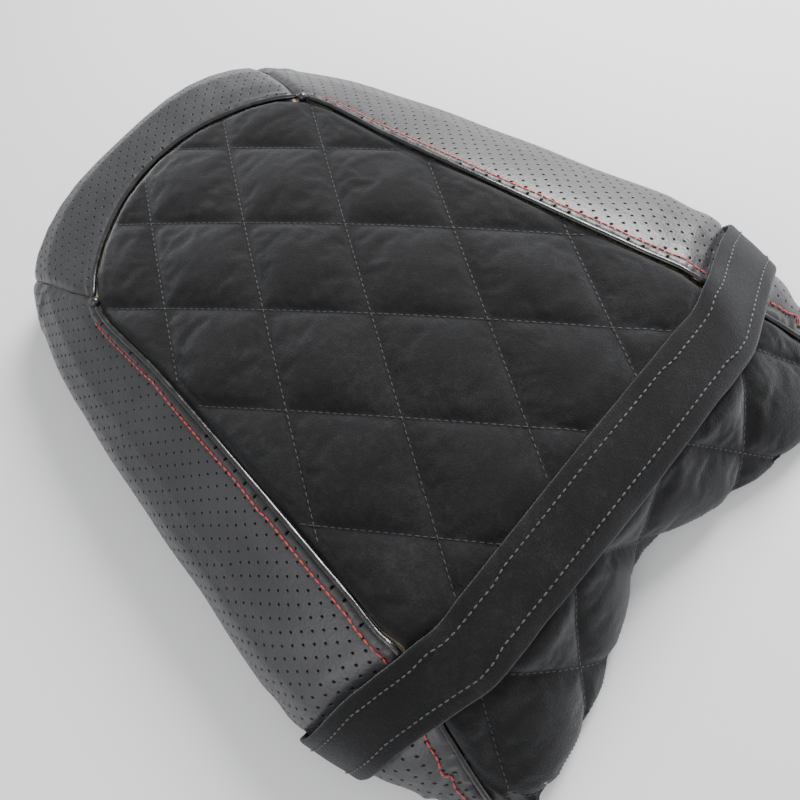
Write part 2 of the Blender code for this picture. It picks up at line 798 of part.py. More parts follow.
def strap_plate(name, side):
    x = side * strap_fixing_x()
    top = BOSS_Z - STRAP_THICKNESS - 2 * GAP
    half_x = STRAP_TAIL / 2 - 0.004
    half_y = STRAP_WIDTH / 2 - 0.001
    plate = block(name, (x - half_x, STRAP_FOOT_Y - half_y, top - PLATE_THICKNESS),
                  (x + half_x, STRAP_FOOT_Y + half_y, top))
    hole = boss("hole_" + name, x, STRAP_FOOT_Y, BOLT_RADIUS + BOLT_CLEARANCE,
                top - 0.010, top + 0.010)
    combine(plate, hole, "DIFFERENCE")
    return finish(plate, name, "zinc_steel")


# ---------------------------------------------------------------- striker and hooks

def striker_plate():
    length, depth, thickness = STRIKER_PLATE
    top = STRIKER_BOSS_Z - GAP
    plate = block("striker_plate", (-length / 2, STRIKER_Y - depth / 2, top - thickness),
                  (length / 2, STRIKER_Y + depth / 2, top))
    bolt_hole = BOLT_RADIUS + BOLT_CLEARANCE
    for side, word in ((-1, "left"), (1, "right")):
        for kind, span, radius in (("bolt", STRIKER_BOLT_SPAN, bolt_hole),
                                   ("leg", STRIKER_SPAN, ROD_RADIUS + GAP)):
            hole = boss("plate_%s_hole_%s" % (kind, word), side * span / 2, STRIKER_Y, radius,
                        top - 0.010, top + 0.010)
            combine(plate, hole, "DIFFERENCE")
    return finish(plate, "striker_plate", "zinc_steel")


def striker_loop():
    """A bent rod whose two legs stand in the plate."""
    top = STRIKER_BOSS_Z - GAP
    foot = top - STRIKER_PLATE[2] - STRIKER_DROP
    half = STRIKER_SPAN / 2
    path = [Vector((half, STRIKER_Y, top))]
    for k in range(7):
        turn = pi / 2 * k / 6
        path.append(Vector((half - ROD_BEND + ROD_BEND * cos(turn), STRIKER_Y,
                            foot + ROD_BEND - ROD_BEND * sin(turn))))
    path += [Vector((-p.x, p.y, p.z)) for p in reversed(path)]
    data = bpy.data.curves.new("striker_loop", "CURVE")
    data.dimensions = "3D"
    spline = data.splines.new("POLY")
    spline.points.add(len(path) - 1)
    for point, place in zip(spline.points, path):
        point.co = (*place, 1.0)
    data.bevel_depth = ROD_RADIUS
    data.bevel_resolution = 3
    data.use_fill_caps = True
    obj = bpy.data.objects.new("striker_loop", data)
    bpy.context.collection.objects.link(obj)
    return finish(obj, "striker_loop", "zinc_steel")


def hook(name, side):
    """A bent steel tongue that catches under the frame: pad, leg and tongue."""
    x = side * HOOK_SPREAD
    top = BOSS_Z - GAP
    thick = HOOK_THICKNESS
    back = HOOK_Y + HOOK_WIDTH / 2
    bend = HOOK_Y - HOOK_WIDTH / 2
    foot = top - HOOK_DROP
    section = [
        (back, top - thick),
        (back, top),
        (bend, top),
        (bend, foot + thick),
        (bend - HOOK_REACH, foot + thick),
        (bend - HOOK_REACH, foot),
        (bend + thick, foot),
        (bend + thick, top - thick),
    ]
    bm = bmesh.new()
    half = HOOK_WIDTH / 2
    ring = [bm.verts.new((x - half, y, z)) for y, z in section]
    face = bm.faces.new(ring)
    moved = bmesh.ops.extrude_face_region(bm, geom=[face])
    lifted = [item for item in moved["geom"] if isinstance(item, bmesh.types.BMVert)]
    bmesh.ops.translate(bm, verts=lifted, vec=(HOOK_WIDTH, 0, 0))
    face_outwards(bm)
    piece = from_bmesh(bm, name, "black_steel", smooth=False)
    hole = boss("hole_" + name, x, HOOK_Y, BOLT_RADIUS + BOLT_CLEARANCE, top - 0.010, top + 0.010)
    combine(piece, hole, "DIFFERENCE")
    return finish(piece, name, "black_steel")


# ---------------------------------------------------------------- assembly

def main():
    for obj in list(bpy.data.objects):
        bpy.data.objects.remove(obj)
    top_panel()
    wall_panel("side_panel_right", TAIL_CORNER, FRONT_CORNER)
    wall_panel("side_panel_left", -FRONT_CORNER, -TAIL_CORNER)
    wall_panel("tail_panel", -TAIL_CORNER, TAIL_CORNER)
    piping("piping_right", side_route(1))
    piping("piping_left", side_route(-1))
    piping("piping_tail", tail_route())
    quilt_wadding()
    foam_cushion()
    seat_pan()
    passenger_strap()
    striker_plate()
    striker_loop()
    for side, word in ((-1, "left"), (1, "right")):
        strap_plate("strap_plate_" + word, side)
        hook("hook_" + word, side)
        strap_x = side * strap_fixing_x()
        plate_low = BOSS_Z - STRAP_THICKNESS - 3 * GAP - PLATE_THICKNESS
        bolt("strap_bolt_" + word, strap_x, STRAP_FOOT_Y, plate_low, BOSS_Z - plate_low)
        insert("strap_insert_" + word, strap_x, STRAP_FOOT_Y)
        striker_low = STRIKER_BOSS_Z - 2 * GAP - STRIKER_PLATE[2]
        striker_x = side * STRIKER_BOLT_SPAN / 2
        grip = STRIKER_BOSS_Z - striker_low
        bolt("striker_bolt_" + word, striker_x, STRIKER_Y, striker_low, grip)
        insert("striker_insert_" + word, striker_x, STRIKER_Y, STRIKER_BOSS_Z)
        hook_low = BOSS_Z - 2 * GAP - HOOK_THICKNESS
        bolt("hook_bolt_" + word, side * HOOK_SPREAD, HOOK_Y, hook_low, BOSS_Z - hook_low)
        insert("hook_insert_" + word, side * HOOK_SPREAD, HOOK_Y)
        for end, (x, y) in BUMPER_PLACES.items():
            bumper("bumper_" + end + "_" + word, side * x, y)


main()
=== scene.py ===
"""Looks of a motorcycle's passenger seat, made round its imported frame."""

import json

import bmesh
import bpy
import numpy as np
from mathutils import Matrix, Vector
from mathutils.bvhtree import BVHTree
from mathutils.kdtree import KDTree

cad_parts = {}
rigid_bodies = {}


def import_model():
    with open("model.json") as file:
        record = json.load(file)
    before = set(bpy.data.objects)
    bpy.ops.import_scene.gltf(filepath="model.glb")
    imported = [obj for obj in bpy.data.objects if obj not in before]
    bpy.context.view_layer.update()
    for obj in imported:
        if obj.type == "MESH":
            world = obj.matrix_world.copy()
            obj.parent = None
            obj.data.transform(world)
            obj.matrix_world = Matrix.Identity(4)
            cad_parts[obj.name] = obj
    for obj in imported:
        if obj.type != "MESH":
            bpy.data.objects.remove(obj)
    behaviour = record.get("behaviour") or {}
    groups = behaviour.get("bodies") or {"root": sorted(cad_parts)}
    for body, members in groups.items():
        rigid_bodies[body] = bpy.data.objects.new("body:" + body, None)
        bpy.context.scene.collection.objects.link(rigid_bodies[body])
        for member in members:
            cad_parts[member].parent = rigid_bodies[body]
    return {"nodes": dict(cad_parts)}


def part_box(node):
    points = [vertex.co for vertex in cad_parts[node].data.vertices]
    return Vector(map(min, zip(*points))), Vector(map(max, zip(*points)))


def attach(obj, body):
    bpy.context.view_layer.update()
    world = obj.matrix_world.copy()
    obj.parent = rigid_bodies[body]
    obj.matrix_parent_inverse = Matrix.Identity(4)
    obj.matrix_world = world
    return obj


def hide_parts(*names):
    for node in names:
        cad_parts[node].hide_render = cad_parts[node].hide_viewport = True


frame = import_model()

bl_info = {
    "name": "Motorcycle passenger seat",
    "version": (1, 0, 0),
    "blender": (4, 5, 0),
    "location": "View3D > Sidebar > Seat",
    "description": "Covers a seat's frame with quilted suede, perforated vinyl, piping and a strap",
    "category": "Add Mesh",
}

NODES = frame["nodes"]
COVERS = ("top_panel", "side_panel_left", "side_panel_right", "tail_panel")
PIPINGS = {"piping_left": 1, "piping_right": 1, "piping_tail": 0}   # the axis each runs along
MERGE = 0.00001            # the CAD's loose corners this near each other are one
SKIN_START = 0.00005       # a ray starts this far off the face that it asks about
WALL = 0.02                # a face with filling this near in front of it is an inner one

CORE_HEIGHT = 0.028        # rays aim at a line inside the cushion at this height
CORE_MARGIN = 0.035        # the line ends this far inside the skin
SIDE_MARGIN = 0.022
RIM_LEVEL = 0.009          # height of the cover's lower rim
RAY_REACH = 0.4
RAY_TURN = 3.05            # rays turn from straight up to nearly straight down
SIDE_RAYS = 90
TOP_RAYS = 110
GRAZING = 0.05             # a face turned further from the ray than this isn't skin
ROW_STEP = 0.003
ARC_STEP = 0.0015
ARC_REACH = 0.33

BEAD_RADIUS = 0.0014
BEAD_BREAK = 0.0009        # rings of the bead's mesh are further apart than this
BEAD_JOINT = 0.0024        # where the three beads meet at a tail corner
SEAM_REACH = 0.0068        # panel edges this near the piping are drawn in under it
TIGHTEST = 0.0004          # outline points nearer than this to the last are left out

STRAP_HALF = 0.013
STRAP_CLEAR = 0.0005       # a cover starts to rise again this far from the strap
STITCH_RISE = 0.00022      # height of the quilting's thread over the suede

QUILT_CELLS = 32           # cells along a diamond's side
BATTING_CELLS = 10
EDGE_FADE = 0.006          # the quilting's height fades out over this width
CLOTH_FRAMES = 14
CLOTH_REACH = 0.0020       # the most that a point of the suede may move while it settles
CLOTH_SINK = 0.0004        # the most that it may sink

HOLE_CELLS = 3             # fine cells from one perforation to the next
HOLE_RIM = 0.00018
HOLE_DEPTH = 0.0010
HOLE_EDGE = 0.0021         # no perforation is nearer than this to a panel's edge
HOLE_LOWEST = 0.0085
RED_PITCH = 0.0033
RED_LENGTH = 0.0028

HEM_INSET = 0.0045
HEM_PROBE = 0.012          # above the hem's inner edge the wall is further off than this
STAPLE_PITCH = 0.020
STAPLE = (0.0095, 0.0011, 0.0007)
STAPLE_ROUNDING = 0.00022


# ---- settings

class SeatSettings(bpy.types.PropertyGroup):
    quilt_across: bpy.props.FloatProperty(
        name="Diamond width", description="Width of a quilted diamond",
        default=0.055, unit="LENGTH")
    quilt_along: bpy.props.FloatProperty(
        name="Diamond length", description="Length of a quilted diamond",
        default=0.0836, unit="LENGTH")
    quilt_start: bpy.props.FloatProperty(
        name="First crossing", description="Place of the crossing nearest the tail",
        default=0.14925, unit="LENGTH")
    quilt_sunk: bpy.props.FloatProperty(
        name="Stitch depth", description="Depth of the quilting's seams",
        default=0.0021, unit="LENGTH")
    quilt_puff: bpy.props.FloatProperty(
        name="Puff", description="Height of a diamond over its seams",
        default=0.0042, unit="LENGTH")
    quilt_curve: bpy.props.FloatProperty(
        name="Puff curve", description="Distance in which a diamond rises from its seam",
        default=0.0075, unit="LENGTH")
    stitch_pitch: bpy.props.FloatProperty(
        name="Stitch pitch", description="Distance between stitches", default=0.0031, unit="LENGTH")
    hole_pitch: bpy.props.FloatProperty(
        name="Hole pitch", description="Distance between neighbouring perforations",
        default=0.0050, unit="LENGTH")
    topstitch_gap: bpy.props.FloatProperty(
        name="Topstitch", description="Distance of the red thread from the piping",
        default=0.0056, unit="LENGTH")
    suede: bpy.props.FloatVectorProperty(
        name="Suede", description="Colour of the suede", default=(0.0115, 0.0115, 0.0120),
        subtype="COLOR", size=3)
    vinyl: bpy.props.FloatVectorProperty(
        name="Vinyl", description="Colour of the perforated vinyl",
        default=(0.028, 0.028, 0.030), subtype="COLOR", size=3)
    topstitch: bpy.props.FloatVectorProperty(
        name="Topstitch colour", description="Colour of the red thread",
        default=(0.52, 0.022, 0.018), subtype="COLOR", size=3)


def settings():
    return bpy.context.scene.seat_settings


# ---- materials

class Value:
    """A socket, with sums on it written as Python sums."""

    def __init__(self, finish, socket):
        self.finish = finish
        self.socket = socket

    def maths(self, operation, *others):
        return self.finish.node("ShaderNodeMath", {"operation": operation}, dict(enumerate(others)))

    def __add__(self, other):
        return self.maths("ADD", self, other)

    def __mul__(self, other):
        return self.maths("MULTIPLY", self, other)

    __radd__ = __add__
    __rmul__ = __mul__


class Finish:
    """A material under construction."""

    def __init__(self, name, roughness=0.5, **constants):
        self.material = bpy.data.materials.new(name)
        self.material.use_nodes = True
        self.tree = self.material.node_tree
        self.shader = self.tree.nodes["Principled BSDF"]
        self.set(Roughness=roughness)
        for key, value in constants.items():
            self.shader.inputs[key.replace("_", " ")].default_value = value
        coordinates = self.tree.nodes.new("ShaderNodeTexCoord")
        self.place = Value(self, coordinates.outputs["Object"])

    def node(self, kind, options, inputs, output=0):
        made = self.tree.nodes.new(kind)
        for key, value in options.items():
            if key == "stops":
                for number, (position, colour) in enumerate(value):
                    stops = made.color_ramp.elements
                    stop = stops[number] if number < 2 else stops.new(position)
                    stop.position = position
                    stop.color = colour
            else:
                setattr(made, key, value)
        for key, value in inputs.items():
            if isinstance(value, Value):
                self.tree.links.new(value.socket, made.inputs[key])
            else:
                made.inputs[key].default_value = value
        return Value(self, made.outputs[output])

    def noise(self, size, detail=2.0, roughness=0.5, stretch=None):
        place = self.place
        if stretch:
            place = self.node("ShaderNodeMapping", {}, {"Vector": place, "Scale": stretch})
        return self.node("ShaderNodeTexNoise", {}, {
            "Vector": place, "Scale": 1 / size, "Detail": detail, "Roughness": roughness})

    def cells(self, size, feature="F1", output=0):
        return self.node("ShaderNodeTexVoronoi", {"feature": feature},
                         {"Vector": self.place, "Scale": 1 / size}, output)

    def ramp(self, value, *stops):
        stops = [(at, (*colour, 1.0) if len(colour) == 3 else (colour[0],) * 3 + (1.0,))
                 for at, colour in stops]
        return self.node("ShaderNodeValToRGB", {"stops": stops}, {0: value})

    def mix(self, amount, first, second):
        """Blend two colours."""
        first = (*first, 1.0) if isinstance(first, tuple) else first
        second = (*second, 1.0) if isinstance(second, tuple) else second
        return self.node("ShaderNodeMix", {"data_type": "RGBA"},
                         {0: amount, 6: first, 7: second}, 2)

    def span(self, value, low, high, to_low=0.0, to_high=1.0):
        """Carry a value from one span of numbers to another."""
        return self.node("ShaderNodeMapRange", {}, {
            0: value, 1: low, 2: high, 3: to_low, 4: to_high})

    def bump(self, height, distance, strength=1.0, under=None):
        inputs = {"Height": height, "Distance": distance, "Strength": strength}
        if under is not None:
            inputs["Normal"] = under
        return self.node("ShaderNodeBump", {}, inputs)

    def set(self, **sockets):
        for key, value in sockets.items():
            socket = self.shader.inputs[key.replace("_", " ")]
            if isinstance(value, Value):
                self.tree.links.new(value.socket, socket)
            else:
                socket.default_value = value


def shade(amount, colour):
    return tuple(amount * c for c in colour)


def suede(name, colour, nap=1.0):
    """Dark suede, with short fibres brushed in patches."""
    made = Finish(name, 0.92, Sheen_Weight=0.30, Sheen_Roughness=0.40, Specular_IOR_Level=0.12)
    made.shader.inputs["Sheen Tint"].default_value = (0.86, 0.87, 0.90, 1.0)
    fibre = made.noise(0.0007, 4.0, 0.7)
    clump = made.noise(0.0035, 3.0, 0.6)
    brushed = made.noise(0.035 * nap, 2.0, 0.5, stretch=(1.0, 0.6, 1.0))
    lightness = fibre * 0.45 + clump * 0.30 + brushed * 0.25
    made.set(Base_Color=made.ramp(
        lightness, (0.34, shade(0.45, colour)), (0.52, colour), (0.68, shade(2.3, colour))))
    fine = made.bump(fibre, 0.00040, 0.9)
    made.set(Normal=made.bump(clump, 0.0004, 0.22, fine))
    made.set(Roughness=made.span(clump, 0.3, 0.7, 0.84, 0.98))
    return made.material


def vinyl(name, colour):
    made = Finish(name, 0.42, Specular_IOR_Level=0.55, Coat_Roughness=0.35)
    pebble = made.cells(0.0011, "SMOOTH_F1")
    fine = made.noise(0.0005, 3.0, 0.6)
    wide = made.noise(0.030, 3.0, 0.6)
    crease = made.noise(0.006, 4.0, 0.6, stretch=(1.0, 0.35, 1.0))
    tone = wide * 0.6 + fine * 0.4
    made.set(Base_Color=made.ramp(
        tone, (0.30, shade(0.7, colour)), (0.70, shade(1.3, colour))))
    made.set(Roughness=made.span(wide * 0.5 + pebble * 0.5, 0.2, 0.8, 0.38, 0.55))
    grain = made.bump(pebble * 0.8 + fine * 0.2, 0.00022, 0.75)
    made.set(Normal=made.bump(crease, 0.0006, 0.45, grain))
    made.set(Coat_Weight=made.span(wide, 0.3, 0.7, 0.0, 0.12))
    return made.material


# Painted shade: a near-black finish for the bottoms of the perforation pits, standing in for the
# shade inside the holes.
def painted_pit_shade(name):
    made = Finish(name, 0.95, Specular_IOR_Level=0.05)
    speck = made.noise(0.001)
    made.set(Base_Color=made.ramp(speck, (0.3, (0.002,)), (0.7, (0.005,))))
    return made.material


def gloss_cord(name):
    made = Finish(name, 0.2, Specular_IOR_Level=0.7)
    scuff = made.noise(0.004, 3.0, 0.6)
    fine = made.noise(0.0009, 2.0)
    made.set(Base_Color=made.ramp(scuff, (0.3, (0.005,)), (0.75, (0.014,))))
    made.set(Roughness=made.span(scuff, 0.3, 0.7, 0.12, 0.34))
    made.set(Normal=made.bump(fine, 0.00012, 0.5))
    return made.material


def thread(name, colour, spread=0.5):
    made = Finish(name, 0.55, Sheen_Weight=0.25, Specular_IOR_Level=0.45)
    twist = made.noise(0.0006, 2.0, 0.5)
    wide = made.noise(0.012, 2.0)
    made.set(Base_Color=made.ramp(
        twist * 0.7 + wide * 0.3, (0.3, shade(1 - spread, colour)),
        (0.7, shade(1 + spread, colour))))
    made.set(Normal=made.bump(twist, 0.0002, 0.7))
    made.set(Roughness=made.span(twist, 0.3, 0.7, 0.45, 0.7))
    return made.material


def moulded_plastic(name, colour):
    made = Finish(name, 0.5, Specular_IOR_Level=0.45)
    spark = made.cells(0.0007, "F1")
    flow = made.noise(0.04, 4.0, 0.6, stretch=(1.0, 0.3, 1.0))
    fibre = made.noise(0.002, 4.0, 0.7, stretch=(1.0, 0.25, 1.0))
    made.set(Base_Color=made.ramp(
        flow * 0.6 + fibre * 0.4, (0.3, shade(0.7, colour)), (0.7, shade(1.5, colour))))
    made.set(Roughness=made.span(flow, 0.3, 0.7, 0.42, 0.62))
    made.set(Normal=made.bump(spark * 0.7 + fibre * 0.3, 0.00012, 0.7))
    return made.material


def rubber(name):
    made = Finish(name, 0.8, Specular_IOR_Level=0.3)
    bloom = made.noise(0.006, 4.0, 0.65)
    fine = made.noise(0.0008, 2.0)
    made.set(Base_Color=made.ramp(bloom, (0.35, (0.010,)), (0.7, (0.028,))))
    made.set(Roughness=made.span(bloom, 0.3, 0.7, 0.68, 0.9))
    made.set(Normal=made.bump(fine, 0.0001, 0.6))
    return made.material


def plated(name, colour, roughness, wear, metallic=1.0):
    """Plated or painted metal, with fine scratches and worn or stained patches."""
    made = Finish(name, roughness, Metallic=metallic)
    patch = made.noise(0.008, 5.0, 0.65)
    scratch = made.noise(0.0012, 3.0, 0.6, stretch=(1.0, 0.06, 1.0))
    worn = made.span(patch, 0.55, 0.72)
    made.set(Base_Color=made.mix(worn, colour, wear))
    made.set(Roughness=made.span(scratch * 0.5 + patch * 0.5, 0.3, 0.7,
                                 roughness * 0.75, roughness * 1.4))
    made.set(Normal=made.bump(scratch, 0.00006, 0.6))
    return made.material


def cellular(name, colour):
    """Open-cell foam."""
    made = Finish(name, 0.95)
    pore = made.cells(0.0016, "F1")
    tone = made.noise(0.03, 3.0)
    made.set(Base_Color=made.ramp(
        tone * 0.5 + pore * 0.5, (0.2, shade(0.6, colour)), (0.7, colour)))
    made.set(Normal=made.bump(pore, 0.0005, 0.8))
    return made.material


def floor_finish(name):
    made = Finish(name, 0.75, Specular_IOR_Level=0.2)
    wide = made.noise(0.8, 2.0)
    made.set(Base_Color=made.ramp(wide, (0.3, (0.80, 0.80, 0.81)), (0.7, (0.83, 0.83, 0.835))))
    return made.material


# ---- the skin of the seat

def merged_copy(node):
    """A CAD node's mesh as one connected bmesh."""
    bm = bmesh.new()
    bm.from_mesh(NODES[node].data)
    bmesh.ops.remove_doubles(bm, verts=bm.verts, dist=MERGE)
    bm.normal_update()
    return bm


def tree_of(*nodes):
    """CAD nodes together, ready for rays."""
    whole = bmesh.new()
    for node in nodes:
        whole.from_mesh(NODES[node].data)
    tree = BVHTree.FromBMesh(whole)
    whole.free()
    return tree


def outer_skin(node, filling):
    """The faces of a cover panel that look away from the seat's filling."""
    bm = merged_copy(node)
    hidden = [face for face in bm.faces
              if filling.ray_cast(face.calc_center_median() + face.normal * SKIN_START,
                                  face.normal, WALL)[0] is not None]
    bmesh.ops.delete(bm, geom=hidden, context="FACES")
    return bm


def edge_loop(bm):
    """The longest loop of open edges, as points in order."""
    links = {}
    for edge in bm.edges:
        if edge.is_boundary:
            a, b = edge.verts
            links.setdefault(a, []).append(b)
            links.setdefault(b, []).append(a)
    best = []
    while links:
        start = next(iter(links))
        loop = [start]
        ways = links.pop(start)
        while True:
            ahead = [v for v in ways if v in links]
            if not ahead:
                break
            loop.append(ahead[0])
            ways = links.pop(ahead[0])
        if len(loop) > len(best):
            best = loop
    return np.array([v.co[:] for v in best])


def bead_line(node):
    """The centre line of a length of piping."""
    axis = PIPINGS[node]
    bm = merged_copy(node)
    points = np.array([(v.co - v.normal * BEAD_RADIUS)[:] for v in bm.verts])
    bm.free()
    points = points[np.argsort(points[:, axis])]
    breaks = np.nonzero(np.diff(points[:, axis]) > BEAD_BREAK)[0] + 1
    return np.array([group.mean(0) for group in np.split(points, breaks)])


def lengths(vectors):
    return np.sqrt((vectors ** 2).sum(1))


def run_of(points):
    """Distance along a path at each of its points."""
    return np.concatenate([[0.0], np.cumsum(lengths(np.diff(points, axis=0)))])


def place_at(distance, run, values):
    """What a path's values are at a distance along it."""
    return np.stack([np.interp(distance, run, column) for column in values.T], -1)


def length_one(vector):
    return vector / np.linalg.norm(vector)


def cell_numbers(flat, first, second, origin):
    """Flat places counted in cells from the origin."""
    return np.linalg.solve(np.array([first, second]).T, (flat - origin).T).T


def nearest_on(points, path, closed=False):
    """Nearest places on a path, and their distances."""
    ends = np.roll(path, -1, 0) if closed else path[1:]
    starts = path if closed else path[:-1]
    spans = ends - starts
    squares = np.maximum((spans ** 2).sum(1), 1e-14)
    best = np.full(len(points), 1e9)
    place = np.array(points, float)
    for start, span, square in zip(starts, spans, squares):
        share = np.clip(((points - start) @ span) / square, 0.0, 1.0)
        foot = start + share[:, None] * span
        distance = lengths(points - foot)
        nearer = distance < best
        best[nearer] = distance[nearer]
        place[nearer] = foot[nearer]
    return place, best


def inside(points, outline):
    """Which flat points lie inside a closed outline."""
    found = np.zeros(len(points), bool)
    for (ax, ay), (bx, by) in zip(outline, np.roll(outline, -1, 0)):
        if ay == by:
            continue
        crosses = (points[:, 1] > min(ay, by)) & (points[:, 1] <= max(ay, by))
        at = ax + (points[:, 1] - ay) * (bx - ax) / (by - ay)
        found ^= crosses & (points[:, 0] < at)
    return found


class Unrolled:
    """The seat's skin rolled out flat along rows in planes across one axis.

    A flat place is (position of the plane, distance along the row from the middle)."""

    def __init__(self, tree, across, low, high, side=0):
        self.side = side
        self.across = across
        self.along = 1 - across
        self.values = np.arange(low, high + ROW_STEP / 2, ROW_STEP)
        self.arcs = np.arange(-ARC_REACH, ARC_REACH, ARC_STEP)
        middle = (low + high) / 2
        rows = {value: self.row(tree, value) for value in self.values}
        whole = [value for value in self.values if rows[value] is not None]
        nearest = [min(whole, key=lambda kept: (abs(kept - value), abs(kept - middle)))
                   for value in self.values]
        self.table = np.array([rows[value] for value in nearest])
        for place, value in enumerate(self.values):
            self.table[place, :, across] = value

    def row(self, tree, value):
        """Skin points along one row at even distances, or nothing where there is no skin."""
        unit = Vector((0.0, 0.0, 0.0))
        unit[self.along] = 1.0
        up = Vector((0.0, 0.0, 1.0))
        base = up * CORE_HEIGHT
        base[self.across] = value
        ends = []
        for sign in (-1.0, 1.0):
            level = base - up * (CORE_HEIGHT - RIM_LEVEL if self.side else 0.0)
            hit = tree.ray_cast(level + unit * sign, unit * -sign)[0]
            ends.append(hit[self.along] if hit else 0.0)
        middle = sum(ends) / 2
        low = min(ends[0] + CORE_MARGIN, middle)
        high = max(ends[1] - CORE_MARGIN, middle)
        if self.side:
            at = ends[1] - SIDE_MARGIN if self.side > 0 else ends[0] + SIDE_MARGIN
            crest = tree.ray_cast(base + unit * at + up, -up)[0]
            if crest is None:
                return None
            base -= up * max(0.0, CORE_HEIGHT - (crest.z + RIM_LEVEL) / 2)
            low, high = (at * 0.3, at) if self.side > 0 else (at, at * 0.3)
        rays = []
        if self.side <= 0:
            rays += [(low, -angle) for angle in np.linspace(RAY_TURN, 0.0, SIDE_RAYS)]
        rays += [(place, 0.0) for place in np.linspace(low, high, TOP_RAYS)[1:-1]]
        if self.side >= 0:
            rays += [(high, angle) for angle in np.linspace(0.0, RAY_TURN, SIDE_RAYS)]
        points = []
        for place, angle in rays:
            outward = unit * float(np.sin(angle)) + up * float(np.cos(angle))
            core = base + unit * float(place)
            hit, facing, _, _ = tree.ray_cast(core + outward * RAY_REACH, -outward)
            if hit and facing.dot(outward) > GRAZING:
                points.append(hit[:])
        points = np.array(points)
        if len(points) < 20:
            return None
        length = run_of(points)
        if self.side:
            length -= length[np.argmax(points[:, self.along] * self.side)]
        else:
            top = points[:, 2] > min(CORE_HEIGHT, points[:, 2].max() - 0.001)
            length -= np.interp(0.0, points[top][:, self.along], length[top])
        return place_at(self.arcs, length, points)

    def points(self, flat):
        """Places on the skin for flat places."""
        rows = np.clip((flat[:, 0] - self.values[0]) / ROW_STEP, 0, len(self.values) - 1.001)
        arcs = np.clip((flat[:, 1] + ARC_REACH) / ARC_STEP, 0, len(self.arcs) - 1.001)
        i, j = rows.astype(int), arcs.astype(int)
        a, b = (rows - i)[:, None], (arcs - j)[:, None]
        t = self.table
        return ((t[i, j] * (1 - a) + t[i + 1, j] * a) * (1 - b)
                + (t[i, j + 1] * (1 - a) + t[i + 1, j + 1] * a) * b)

    def normals(self, flat, reach=0.0022):
        """Which way the skin faces at flat places."""
        side = np.array([reach, 0.0])
        ahead = np.array([0.0, reach])
        first = self.points(flat + side) - self.points(flat - side)
        second = self.points(flat + ahead) - self.points(flat - ahead)
        made = np.cross(first, second)
        if self.across == 1:
            made = -made
        return made / np.maximum(lengths(made), 1e-12)[:, None]

    def flat(self, points):
        """Flat places of points on the skin."""
        made = []
        for point in points:
            value = point[self.across]
            row = int(np.clip(round((value - self.values[0]) / ROW_STEP), 0, len(self.values) - 1))
            line = self.table[row]
            gap = line - point
            gap[:, self.across] = 0.0
            j = int(np.clip(np.argmin((gap ** 2).sum(1)), 1, len(line) - 2))
            span = line[j + 1] - line[j - 1]
            span[self.across] = 0.0
            length = max(float(np.sqrt((span ** 2).sum())), 1e-9)
            slide = float(np.dot(-gap[j], span) / length)
            made.append((value, self.arcs[j] + np.clip(slide, -ARC_STEP, ARC_STEP)))
        return np.array(made)


def pour(bm, whole):
    """Add a bmesh to another one, and free it."""
    mesh = bpy.data.meshes.new("poured")
    bm.to_mesh(mesh)
    bm.free()
    whole.from_mesh(mesh)
    bpy.data.meshes.remove(mesh)


def skin_parts():
    """Trees, seam lines and outlines that every cover piece uses."""
    filling = tree_of(*COVERS, *PIPINGS, "foam_cushion", "seat_pan")
    whole = bmesh.new()
    loops = {}
    for node in COVERS:
        outer = outer_skin(node, filling)
        loops[node] = edge_loop(outer)
        pour(outer, whole)
    tree = BVHTree.FromBMesh(whole)
    whole.free()
    left, right, tail = (bead_line(node) for node in ("piping_left", "piping_right", "piping_tail"))
    seam = np.concatenate([left, tail, right[::-1]])
    low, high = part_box("top_panel")
    lengthways = Unrolled(tree, 0, low.x - 0.012, high.x + 0.012)
    low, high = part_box("side_panel_right")
    crossways = {side: Unrolled(tree, 1, low.y, high.y, side) for side in (-1, 1)}
    return {"tree": tree, "seam": seam, "loops": loops, "lengthways": lengthways,
            "crossways": crossways}


def outline_of(node, rolled):
    """A panel's outline on the rolled-out skin, drawn in to the piping."""
    loop = SKIN["loops"][node]
    drawn, distance = nearest_on(loop, SKIN["seam"])
    loop = np.where((distance < SEAM_REACH)[:, None], drawn, loop)
    flat = rolled.flat(loop)
    return flat[lengths(flat - np.roll(flat, 1, 0)) > TIGHTEST]


SKIN = skin_parts()


# ---- shared modelling

def body_of(node):
    """The name of the body that a CAD node rides on."""
    return NODES[node].parent.name.split(":", 1)[1]


def add_object(bm, name, materials, node):
    """Turn a bmesh into a piece that rides with a CAD node's body."""
    mesh = bpy.data.meshes.new(name)
    bm.to_mesh(mesh)
    bm.free()
    mesh.shade_smooth()
    for material in materials:
        mesh.materials.append(material)
    piece = bpy.data.objects.new(name, mesh)
    bpy.context.scene.collection.objects.link(piece)
    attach(piece, body_of(node))
    return piece


def refine(piece, kind, **values):
    """Give a piece a modifier."""
    change = piece.modifiers.new(kind.lower(), kind)
    for key, value in values.items():
        setattr(change, key, value)
    return change


